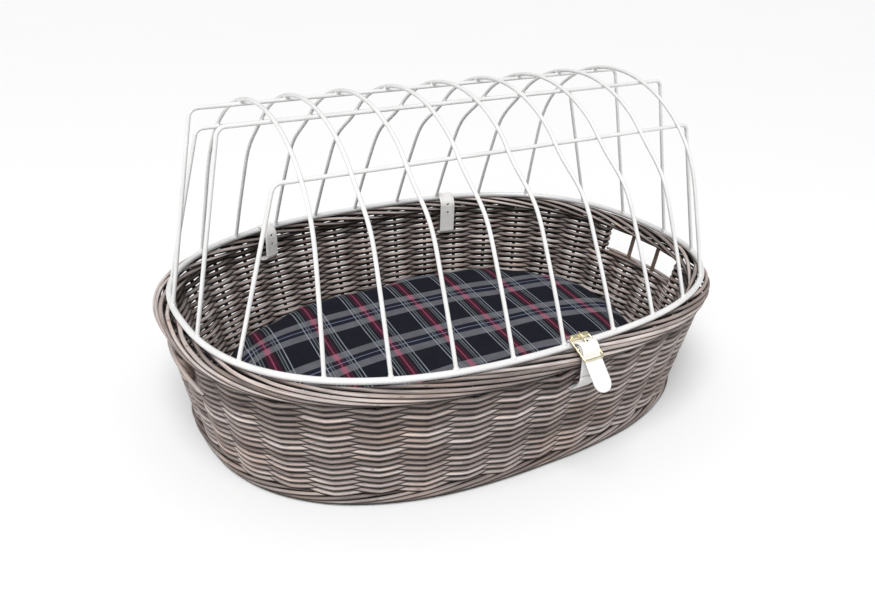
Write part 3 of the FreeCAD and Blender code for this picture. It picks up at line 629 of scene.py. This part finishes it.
def plaited(rods, index, half_size, centre_z, across, tall, reach, turns, radius, start=0.0):
    """One rod of a plaited edge: up from the inside, over the top and down along the outside."""
    t = np.linspace(0, 1, 46)
    share = np.interp(t, [p[0] for p in turns], [p[1] for p in turns])
    kernel = np.ones(7) / 7
    share = np.convolve(np.pad(share, 3, mode="edge"), kernel, "valid")
    phi = np.radians(share)
    u = start + index + reach * t
    bulge = 1.0 + rng.normal(0, 0.02)
    out = across * bulge * np.sign(np.cos(phi)) * np.abs(np.cos(phi)) ** 0.85
    z = centre_z + tall * np.sin(phi) + wander(u, 0.14)
    taper = np.interp(t, [0, 0.05, 0.7, 0.93, 1.0], [0.85, 1, 0.95, 0.72, 0.4])
    thick = radius * rng.uniform(0.9, 1.07) * taper
    rods.add(around(half_size[0], half_size[1], u, out + wander(u, 0.12), z), thick, sides=10,
             face=np.stack([np.cos(phi), np.sin(phi)], 1), edge=0.5)


border = Rods()
for index in range(STAKES):
    plaited(border, index + rng.uniform(-0.08, 0.08), BORDER, 129.2, 9.5, 6.0, 7.6,
            ((0.0, 262), (0.10, 215), (0.33, 110), (0.42, 78), (1.0, -72)), 2.35)
border_piece = border.make("border", WILLOW_BORDER)
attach(border_piece, "basket")
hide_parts("woven_border")

FOOT = (278.5, 197.5)

foot = Rods()
for index in range(STAKES):
    plaited(foot, index, FOOT, 6.2, 4.6, 4.0, 4.2,
            ((0.0, -110), (0.12, -80), (0.45, -20), (0.8, 60), (1.0, 120)), 2.2, start=0.3)
    plaited(foot, index, FOOT, 6.0, 4.6, 3.8, 3.4,
            ((0.0, 75), (0.25, 110), (0.7, 200), (1.0, 255)), 2.0, start=0.8)
foot_piece = foot.make("foot", WILLOW_FOOT)
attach(foot_piece, "basket")
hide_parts("foot_wale")

# ---- woven base

BASE = (271.0, 190.0)
BASE_Z = 5.1

base = Rods()
for ring, inset in enumerate(np.arange(3.0, 186.0, 4.3)):
    half = (BASE[0] - inset, max(BASE[1] - inset, 3.0))
    u = np.arange(0, STAKES, 1 / 6)
    out_z = 2.7 * (1 if ring % 2 else -1) * np.cos(math.pi * u)
    points = around(half[0], half[1], u, 0 * u, BASE_Z + out_z)
    base.add(points, 1.85 + wander(u, 0.06), sides=6, closed=True, tint=rod_tints(u))
base_piece = base.make("base_weave", WILLOW)
spokes = Rods()
for index in range(STAKES):
    outer = around(BASE[0] - 1.0, BASE[1] - 1.0, np.array([float(index)]), 0, BASE_Z)[0]
    reach = 10.0 if index % 2 == 0 else 95.0
    inner = around(BASE[0] - BASE[1] + reach, reach, np.array([float(index)]), 0, BASE_Z)[0]
    spokes.add(np.linspace(outer, inner, 6), 2.4, sides=8)
spoke_piece = spokes.make("base_sticks", WILLOW_STAKE_SHADE)
for piece in (base_piece, spoke_piece):
    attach(piece, "basket")
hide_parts("basket_base")

# ---- wire cage

for name, obj in NODES.items():
    if name.startswith("cage"):
        obj.data.materials.clear()
        obj.data.materials.append(WIRE)
        shade_smooth(obj.data)
    elif name.startswith("front_buckle") or "rivet" in name:
        obj.data.materials.clear()
        obj.data.materials.append(BRASS)

ARCH_TOPS = (-216.0, -171.0, -117.0, -62.0, -6.0, 50.0, 105.5, 163.0, 217.5)
ARCH_FEET = (-229.0, -179.0, -123.0, -66.5, -9.5, 52.5, 111.0, 170.0, 229.0)
RAILS = (37.0, 98.0)  # how far the long rails stand from the middle line
ARCH_RADIUS = 140.0
CROWN_Z = HOOP[2] + 57.0  # height of the centre of the arches' round tops


def weld_beads():
    """Small fused lumps of coated metal where the wires cross or end."""
    spots = []
    for foot_x, top_x in zip(ARCH_FEET, ARCH_TOPS):
        foot_y = hoop_y(foot_x)
        for side in (-1, 1):
            spots.append(((foot_x + CAGE_X, side * (foot_y - 0.8), HOOP[2] + 3.2), (2.9, 2.9, 2.0)))
            for rail_y in RAILS:
                out = Vector((0, side * rail_y, math.sqrt(ARCH_RADIUS ** 2 - rail_y ** 2)))
                share = (CROWN_Z + out.z - HOOP[2]) / (CROWN_Z + 143.9 - HOOP[2])
                at = Vector((foot_x + (top_x - foot_x) * share + CAGE_X, 0, CROWN_Z))
                at += out * (142.0 / ARCH_RADIUS)
                spots.append((tuple(at), (2.5, 2.2, 2.2)))
    for rail_y in RAILS:
        end_x = oval_x(HOOP[0], HOOP[1], rail_y)
        for side in (-1, 1):
            for end in (-1, 1):
                at = (end * (end_x - 0.7) + CAGE_X, side * rail_y, HOOP[2] + 3.1)
                spots.append((at, (2.9, 2.9, 2.0)))
    mesh = bmesh.new()
    for centre, size in spots:
        turn = Matrix.Rotation(rng.random() * TURN, 4, "Z")
        place = Matrix.Translation(Vector(centre) * MM) @ turn
        scale = Matrix.Diagonal((*(v * MM * rng.uniform(0.9, 1.1) for v in size), 1.0))
        made = bmesh.ops.create_icosphere(mesh, subdivisions=2, radius=1.0, matrix=place @ scale)
        for vert in made["verts"]:
            vert.co += Vector(rng.normal(0, 0.00012, 3))
    data = bpy.data.meshes.new("weld_beads")
    mesh.to_mesh(data)
    mesh.free()
    shade_smooth(data)
    data.materials.append(WIRE)
    return place_object("weld_beads", data)


beads = weld_beads()
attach(beads, "lid")

# ---- leather straps

STRAP = 20.0
LEATHER_THICK = 2.2


def smooth_path(points, spacing=1.2, closed=False):
    """Evenly spaced points on a smooth curve through given (y, z) points."""
    p = np.array(points, float)
    if closed:
        p = np.vstack([p, p[:1]])
    knots = np.concatenate([[0], np.cumsum(np.linalg.norm(np.diff(p, axis=0), axis=1) ** 0.5)])
    slope = np.gradient(p, knots, axis=0)
    if closed:
        slope[0] = slope[-1] = (slope[0] + slope[-1]) / 2
    fine = []
    for k in range(len(p) - 1):
        gap = knots[k + 1] - knots[k]
        t = np.linspace(0, 1, 40, endpoint=False)[:, None]
        fine.append((2 * t ** 3 - 3 * t ** 2 + 1) * p[k] + (t ** 3 - 2 * t ** 2 + t) * gap * slope[k]
                    + (-2 * t ** 3 + 3 * t ** 2) * p[k + 1] + (t ** 3 - t ** 2) * gap * slope[k + 1])
    fine.append(p[-1:])
    fine = np.concatenate(fine)
    length = np.concatenate([[0], np.cumsum(np.linalg.norm(np.diff(fine, axis=0), axis=1))])
    count = max(int(length[-1] / spacing), 4)
    at = np.linspace(0, length[-1], count + 1)
    even = np.stack([np.interp(at, length, fine[:, 0]), np.interp(at, length, fine[:, 1])], 1)
    return (even[:-1] if closed else even), length[-1]


def section(width, thick, crease):
    """Half outline of the strap, from edge to edge: rounded edges and a pressed crease line."""
    w, h = width / 2, thick / 2
    top = [(-w, 0.15 * h), (-w + 0.25, 0.66 * h), (-w + 0.8, 0.96 * h), (-w + 1.3, h)]
    if crease:
        top += [(-w + 1.6, h), (-w + 1.85, 0.72 * h), (-w + 2.1, h), (-w + 2.6, h)]
    top += [(-w * 0.45, h * 1.03), (0.0, h * 1.04)]
    top += [(-x, y) for x, y in top[-2::-1]]
    bottom = [(x, -0.92 * y) for x, y in top[::-1] if abs(y) <= h]
    bottom = [(x, y) for x, y in bottom if not crease or abs(abs(x) - (w - 1.85)) > 0.1]
    return top + bottom


def strap_mesh(name, points, x_centre, material, closed=False, crease=True, tip=0.0):
    """Leather strip along a side-view path, with an optional rounded tip at its end."""
    path, total = smooth_path(points, closed=closed)
    n = len(path)
    if closed:
        tangent = np.roll(path, -1, 0) - np.roll(path, 1, 0)
    else:
        tangent = np.gradient(path, axis=0)
    tangent /= np.linalg.norm(tangent, axis=1)[:, None]
    normal = np.stack([-tangent[:, 1], tangent[:, 0]], 1)
    outline = np.array(section(STRAP, LEATHER_THICK, crease))
    along = np.linspace(0, total, n)
    left = total - along
    share = np.ones(n)
    if tip:
        inside = left < tip
        share[inside] = np.sqrt(np.maximum(1 - ((tip - left[inside]) / tip) ** 2, 0.0))
        share = np.maximum(share, 0.12)
    verts = []
    for k in range(n):
        for x, lift in outline:
            edge = 0.35 if k in (0, n - 1) and not closed else 1.0
            y, z = path[k] + normal[k] * lift * edge
            verts.append((x_centre + x * share[k], y, z))
    m = len(outline)
    faces = []
    for k in range(n if closed else n - 1):
        for j in range(m):
            a, b = k * m + j, k * m + (j + 1) % m
            c, d = ((k + 1) % n) * m + (j + 1) % m, ((k + 1) % n) * m + j
            faces.append((a, b, c, d))
    if not closed:
        faces.append(tuple(range(m))[::-1])
        faces.append(tuple((n - 1) * m + j for j in range(m)))
    obj = mesh_object(name, np.array(verts) * MM, faces)
    mesh = bmesh.new()
    mesh.from_mesh(obj.data)
    bmesh.ops.recalc_face_normals(mesh, faces=mesh.faces)
    mesh.to_mesh(obj.data)
    mesh.free()
    obj.data.materials.append(material)
    return obj, path, normal


def stitches(name, path, normal, x_centre, first, last, inset=2.9, pitch=3.1):
    """Two rows of short raised threads along a strap."""
    rods = Rods()
    gaps = np.concatenate([[0], np.cumsum(np.linalg.norm(np.diff(path, axis=0), axis=1))])
    for side in (-1, 1):
        at = gaps[-1] * first + 1.0
        while at < gaps[-1] * last:
            marks = np.linspace(at, at + pitch * 0.7, 5)
            lift = LEATHER_THICK / 2 + np.array([-0.35, 0.18, 0.28, 0.18, -0.35])
            y = np.interp(marks, gaps, path[:, 0]) + np.interp(marks, gaps, normal[:, 0]) * lift
            z = np.interp(marks, gaps, path[:, 1]) + np.interp(marks, gaps, normal[:, 1]) * lift
            x = np.full(5, x_centre + side * (STRAP / 2 - inset))
            rods.add(np.stack([x, y, z], 1), 0.33, sides=6, up=(1, 0, 0))
            at += pitch
    return rods.make(name, THREAD)


def punch(obj, centre, direction, radius):
    """Cut a real round hole, with a darker cut edge."""
    mesh = bmesh.new()
    axis = Vector(direction).normalized()
    turn = axis.to_track_quat("Z", "Y").to_matrix().to_4x4()
    bmesh.ops.create_cone(mesh, cap_ends=True, segments=20, radius1=radius * MM, radius2=radius * MM,
                          depth=12 * MM, matrix=Matrix.Translation(Vector(centre) * MM) @ turn)
    data = bpy.data.meshes.new("punch")
    mesh.to_mesh(data)
    mesh.free()
    data.materials.append(PUNCHED)
    cutter = place_object("punch", data)
    cut = obj.modifiers.new("hole", "BOOLEAN")
    cut.operation = "DIFFERENCE"
    cut.solver = "EXACT"
    cut.material_mode = "TRANSFER"
    cut.object = cutter
    bake(obj)
    bpy.data.objects.remove(cutter)


def bake(obj):
    """Apply every modifier to the mesh."""
    bpy.context.view_layer.update()
    shown = obj.evaluated_get(bpy.context.evaluated_depsgraph_get())
    data = bpy.data.meshes.new_from_object(shown)
    old = obj.data
    obj.modifiers.clear()
    obj.data = data
    data.name = old.name


HALF = LEATHER_THICK / 2
CLEAR = 0.3  # left between the leather and what it passes
WRAP = HOOP_WIRE + CLEAR + HALF
HOOP_Z = HOOP[2]
PART_Z = 117.5  # height at which the CAD parts the straps
BUCKLE_HALF = 11.5  # half the buckle's width
BAR_SPACING = 13.4  # from one cross bar of the buckle to the next
BAR_RADIUS = 1.3  # what the leather clears at each bar
ROLLER_RADIUS = 2.6
front_y = -hoop_y(FRONT_X - CAGE_X)
tilt = math.radians(26.4)
ALONG = (-math.cos(tilt), -math.sin(tilt))
OUTWARD = (-math.sin(tilt), math.cos(tilt))
FACING = (0, *OUTWARD)
roller_bar = (front_y - 1.0, HOOP_Z + HOOP_WIRE + 0.6 + LEATHER_THICK + ROLLER_RADIUS)
centre_bar, keeper_bar = [(roller_bar[0] + reach * ALONG[0], roller_bar[1] + reach * ALONG[1])
                          for reach in (BAR_SPACING, 2 * BAR_SPACING)]


def off(bar, along, up):
    """Side-view point measured along the buckle and away from its plane."""
    return (bar[0] + ALONG[0] * along + OUTWARD[0] * up, bar[1] + ALONG[1] * along + OUTWARD[1] * up)


inner_y = -(BORDER[1] - BORDER_HALF) + 1.0 + HALF
outer_y = -(BORDER[1] + BORDER_HALF) - 1.2 - HALF
over_bar = BAR_RADIUS + LEATHER_THICK + CLEAR + HALF
under_bar = BAR_RADIUS + CLEAR + HALF
billet_path = [(inner_y, PART_Z + 0.3), (inner_y, PART_Z + 9.0), (inner_y - 0.2, HOOP_Z - 4.0),
               (front_y + WRAP * 0.92, HOOP_Z + WRAP * 0.40),
               (front_y + WRAP * 0.62, HOOP_Z + WRAP * 0.79),
               (front_y - 0.6, HOOP_Z + WRAP + 0.05), off(centre_bar, -8.8, -1.9),
               off(centre_bar, -4.9, 2.9), off(centre_bar, 0.0, over_bar + 0.3),
               off(centre_bar, 4.8, over_bar - 1.4), off(keeper_bar, -2.9, 1.1 - under_bar),
               off(keeper_bar, 0.6, -0.15 - under_bar), off(keeper_bar, 8.0, -3.0 - under_bar),
               off(keeper_bar, 18.0, -6.8 - under_bar), off(keeper_bar, 29.0, -11.5 - under_bar)]
billet, path, normal = strap_mesh("front_billet", billet_path, FRONT_X, LEATHER, tip=9.6)
y, z = off(centre_bar, -4.6, 3.2)
punch(billet, (FRONT_X, y, z), FACING, 2.2)
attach(billet, "lid")
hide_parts("front_strap_billet")

chape_path = []
for step in range(9):
    angle = math.radians(200.0 - step * 22.5)
    chape_path.append(off(centre_bar, math.cos(angle) * 2.45, math.sin(angle) * 2.45))
chape_path += [(outer_y + 2.0, HOOP_Z - 1.5), (outer_y + 0.3, HOOP_Z - 6.0),
               (outer_y, HOOP_Z - 12.0), (outer_y, PART_Z + 0.3)]
chape, _, _ = strap_mesh("front_chape", chape_path, FRONT_X, LEATHER_BACK, crease=False)
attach(chape, "lid")
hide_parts("front_strap_chape")


def wall_face(z, inset, x):
    return oval_y(*wall_at(z, inset), x)


slot_z = FRONT_SLOT_Z
face_out, face_in = -wall_face(slot_z, 0.0, FRONT_X), -wall_face(slot_z, WALL_THICK, FRONT_X)
anchor, _, _ = strap_mesh("front_anchor", [
    (outer_y, PART_Z - 0.3), (outer_y + 0.6, PART_Z - 5.0), (outer_y + 4.6, PART_Z - 12.0),
    (face_out - 1.5, slot_z + 1.0), (face_out + 3.0, slot_z), (face_in - 3.0, slot_z),
    (face_in + 1.8, slot_z + 0.6), (inner_y - 0.4, slot_z + 4.0), (inner_y, slot_z + 9.0),
    (inner_y, PART_Z - 0.3)], FRONT_X, LEATHER_BACK, crease=False)
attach(anchor, "basket")
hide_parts("front_strap_anchor")


def turned(obj, x, y, angle):
    """Turn a mesh about the upright line through (x, y), in place."""
    centre = Matrix.Translation((x * MM, y * MM, 0))
    obj.data.transform(centre @ Matrix.Rotation(angle, 4, "Z") @ centre.inverted())


for side, x_centre, slot_z, twist in REAR_STRAPS:
    wire_y = hoop_y(x_centre - CAGE_X)
    slope = (hoop_y(x_centre - CAGE_X + 1) - hoop_y(x_centre - CAGE_X - 1)) / 2
    leg_in = oval_y(BORDER[0] - BORDER_HALF, BORDER[1] - BORDER_HALF, x_centre) - 2.4 - HALF
    leg_out = oval_y(BORDER[0] + BORDER_HALF, BORDER[1] + BORDER_HALF, x_centre) + 1.4 + HALF
    face_out, face_in = wall_face(slot_z, 0.0, x_centre), wall_face(slot_z, WALL_THICK, x_centre)
    rest_z = HOOP_Z - HOOP_WIRE + HALF + 0.5
    loop = [(leg_in, PART_Z), (leg_in, PART_Z + 9.0), (leg_in + 1.2, HOOP_Z - 5.0),
            (wire_y - WRAP * 0.92, HOOP_Z + WRAP * 0.40), (wire_y - WRAP * 0.62, HOOP_Z + WRAP * 0.79),
            (wire_y, HOOP_Z + WRAP + 0.05), (wire_y + WRAP * 0.72, HOOP_Z + WRAP * 0.70),
            (wire_y + WRAP * 1.25, HOOP_Z - 0.6), (wire_y + 9.5, rest_z), (leg_out - 4.5, rest_z - 2.4),
            (leg_out - 0.8, rest_z - 6.4), (leg_out, HOOP_Z - 13.0), (leg_out, PART_Z - 2.0),
            (leg_out - 2.8, PART_Z - 9.0), (face_out + 1.5, slot_z + 1.0), (face_out - 3.0, slot_z),
            (face_in + 3.0, slot_z), (face_in - 0.6, slot_z + 0.6), (leg_in + 0.1, slot_z + 4.0),
            (leg_in, slot_z + 9.0)]
    strap, path, normal = strap_mesh("rear_strap_" + side, loop, x_centre, LEATHER, closed=True)
    for height in (123.5, 134.0):
        punch(strap, (x_centre, leg_in, height), (0, 1, 0), 1.15)
    seam = stitches("rear_stitches_" + side, path, normal, x_centre, 0.02, 0.52)
    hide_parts("rear_strap_%s_flap" % side, "rear_strap_%s_anchor" % side)
    for piece in (strap, seam):
        turned(piece, x_centre, wire_y, math.atan(slope) + math.radians(twist))
        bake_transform(piece)

# ---- buckle frame


def rounded_loop(half_x, low, high, corner):
    """Points of a rounded rectangle in the buckle's own plane."""
    points = []
    for cx, cy, first in ((half_x - corner, high - corner, 0), (-half_x + corner, high - corner, 90),
                          (-half_x + corner, low + corner, 180), (half_x - corner, low + corner, 270)):
        for step in range(7):
            angle = math.radians(first + 15 * step)
            points.append((cx + corner * math.cos(angle), cy + corner * math.sin(angle)))
    return points


def in_buckle(x, along, up=0.0):
    y, z = off(centre_bar, along, up)
    return (FRONT_X + x, y, z)


buckle = Rods()
ring = [in_buckle(x, along) for x, along in rounded_loop(BUCKLE_HALF, -BAR_SPACING, BAR_SPACING, 2.8)]
buckle.add(ring, 1.05, sides=16, closed=True, up=FACING)
centre_line = [in_buckle(x, 0.0) for x in np.linspace(-BUCKLE_HALF, BUCKLE_HALF, 9)]
buckle.add(centre_line, 1.0, sides=16, up=FACING)
buckle_piece = buckle.make("buckle_frame", BRASS)
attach(buckle_piece, "lid")
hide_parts("front_buckle_frame")

roller = Rods()
places = np.array([-10.25, -10.2, -10.0, -9.7, -9.2, -6.0, 0.0, 6.0, 9.2, 9.7, 10.0, 10.2, 10.25])
roller.add([in_buckle(x, -BAR_SPACING) for x in places],
           np.interp(np.abs(places), [0, 9.2, 9.7, 10.0, 10.2, 10.25],
                     [ROLLER_RADIUS, ROLLER_RADIUS, 2.52, 2.35, 2.0, 1.5]),
           sides=40, up=FACING)
roller_piece = roller.make("buckle_roller", BRASS)
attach(roller_piece, "buckle_roller")
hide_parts("front_buckle_roller")

prong = Rods()
prong_line = [(0.4, 2.0), (-1.6, 1.9), (-3.4, 3.3), (-6.0, 3.8), (-9.0, 3.6), (-12.0, 3.8), (-15.0, 3.4),
              (-16.6, 2.4)]
prong_path, _ = smooth_path(prong_line, spacing=0.8)
prong.add([in_buckle(0.0, along, up) for along, up in prong_path],
          0.95 * np.interp(np.linspace(0, 1, len(prong_path)), [0, 0.1, 0.8, 1], [0.8, 1, 0.9, 0.55]),
          sides=14, up=(1, 0, 0))
eye_turn = np.linspace(0, TURN, 24, endpoint=False)
prong.add([in_buckle(0.0, 1.95 * math.cos(a), 1.95 * math.sin(a)) for a in eye_turn], 0.8, sides=12,
          closed=True, up=(1, 0, 0))
prong_piece = prong.make("buckle_prong", BRASS)
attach(prong_piece, "buckle_prong")
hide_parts("front_buckle_prong")

# ---- cushion


PUFF_FRAMES = 20
MOST_MOVED = 0.009  # the puffing moves no point further than this
CUSHION_FLOOR = 0.0106  # just above the base
CUSHION_HALF = (0.264, 0.183)


def points_of(obj):
    """The mesh's points, as an (n, 3) array in metres."""
    co = np.empty(len(obj.data.vertices) * 3)
    obj.data.vertices.foreach_get("co", co)
    return co.reshape(-1, 3)


def simulate_cushion():
    """The pad is remeshed, puffed up a little by cloth pressure, held to its limits and smoothed."""
    source = NODES["cushion_filling"]
    obj = place_object("cushion", source.data.copy())
    co = points_of(obj)
    co[:, :2] *= 0.985
    co[:, 2] = 0.0125 + (co[:, 2] - co[:, 2].min()) * 0.93
    obj.data.vertices.foreach_set("co", co.ravel())
    remesh = obj.modifiers.new("remesh", "REMESH")
    remesh.mode = "VOXEL"
    remesh.voxel_size = 0.006
    bake(obj)
    start = points_of(obj)
    cloth = obj.modifiers.new("cloth", "CLOTH")
    settings = cloth.settings
    settings.use_pressure = True
    settings.uniform_pressure_force = 4.0
    settings.effector_weights.gravity = 0.0
    settings.quality = 5
    settings.tension_stiffness = 12.0
    settings.bending_stiffness = 0.4
    cloth.collision_settings.use_collision = False
    scene.frame_start, scene.frame_end = 1, PUFF_FRAMES
    for step in range(1, PUFF_FRAMES + 1):
        scene.frame_set(step)
    bake(obj)
    scene.frame_set(1)
    moved = points_of(obj) - start
    size = np.linalg.norm(moved, axis=1)[:, None]
    end = start + moved * np.minimum(1.0, MOST_MOVED / np.maximum(size, 1e-9))
    # It lies flat on the base and keeps inside the basket.
    end[:, 2] = np.maximum(end[:, 2], CUSHION_FLOOR)
    grow = (np.abs(end[:, 0] / CUSHION_HALF[0]) ** POWER
            + np.abs(end[:, 1] / CUSHION_HALF[1]) ** POWER) ** (1 / POWER)
    end[:, :2] /= np.maximum(grow, 1.0)[:, None]
    top = end[:, 2] > 0.045
    wave = (np.sin(end[:, 0] * 31 + 1.3) * np.sin(end[:, 1] * 37 + 0.4)
            + 0.6 * np.sin(end[:, 0] * 57 - end[:, 1] * 43))
    end[:, 2] += np.where(top, wave * 0.0008, 0.0)
    obj.data.vertices.foreach_set("co", end.ravel())
    for _ in range(2):
        smooth = obj.modifiers.new("smooth", "SMOOTH")
        smooth.iterations = 3
    divide = obj.modifiers.new("divide", "SUBSURF")
    divide.levels = 1
    bake(obj)
    shade_smooth(obj.data)
    obj.data.materials.clear()
    obj.data.materials.append(PLAID)
    return obj


cushion = simulate_cushion()
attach(cushion, "cushion")
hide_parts("cushion_cover", "cushion_filling")

# ---- floor and light


def plain(name, tone):
    s = Shader(name, 0.9)
    return s.finish(s.ramp(s.noise(s.here(), 3.0), ((0.0, (tone,) * 3), (1.0, (tone * 1.02,) * 3))))


floor = mesh_object("floor", [(-8, -8, 0), (8, -8, 0), (8, 8, 0), (-8, 8, 0)], [(0, 1, 2, 3)], False)
floor.data.materials.append(plain("floor_paper", 0.86))

world = bpy.data.worlds.new("studio")
scene.world = world
world.use_nodes = True
world.node_tree.nodes["Background"].inputs[0].default_value = (1, 1, 1, 1)
world.node_tree.nodes["Background"].inputs[1].default_value = 0.42


def softbox(name, place, target, size, power):
    data = bpy.data.lights.new(name, "AREA")
    data.shape = "RECTANGLE"
    data.size, data.size_y = size
    data.energy = power
    lamp = bpy.data.objects.new(name, data)
    lamp.location = place
    lamp.rotation_euler = (Vector(target) - Vector(place)).to_track_quat("-Z", "Y").to_euler()
    scene.collection.objects.link(lamp)


overhead = bpy.data.lights.new("overhead", "SUN")
overhead.energy = 2.5
overhead.angle = math.radians(38)
lamp = bpy.data.objects.new("overhead", overhead)
lamp.rotation_euler = Vector((0.35, 0.42, -1.0)).to_track_quat("-Z", "Y").to_euler()
scene.collection.objects.link(lamp)
softbox("key", (-1.1, -1.5, 1.5), (0, 0, 0.1), (0.7, 0.7), 9.0)

scene.view_settings.view_transform = "Standard"

YAW, PITCH, ROLL = math.radians(-33.106), math.radians(25.463), math.radians(2.236)
forward = Vector((-math.sin(YAW) * math.cos(PITCH), math.cos(YAW) * math.cos(PITCH), -math.sin(PITCH)))
right = forward.cross(Vector((0, 0, 1))).normalized()
above = right.cross(forward)
camera_right = math.cos(ROLL) * right + math.sin(ROLL) * above
camera_up = -math.sin(ROLL) * right + math.cos(ROLL) * above
lens = bpy.data.cameras.new("camera")
SENSOR_WIDTH = 36.0
IMAGE_WIDTH = 875.0
FOCAL = 856.47  # in the same units as IMAGE_WIDTH
lens.sensor_width = SENSOR_WIDTH
lens.lens = SENSOR_WIDTH * FOCAL / IMAGE_WIDTH
camera = bpy.data.objects.new("camera", lens)
camera_at = (-0.4915 + CAGE_X * MM, -0.7330, 0.5175)
rows = [(camera_right[k], camera_up[k], -forward[k], camera_at[k]) for k in range(3)]
camera.matrix_world = Matrix(rows + [(0, 0, 0, 1)])
scene.collection.objects.link(camera)
scene.camera = camera
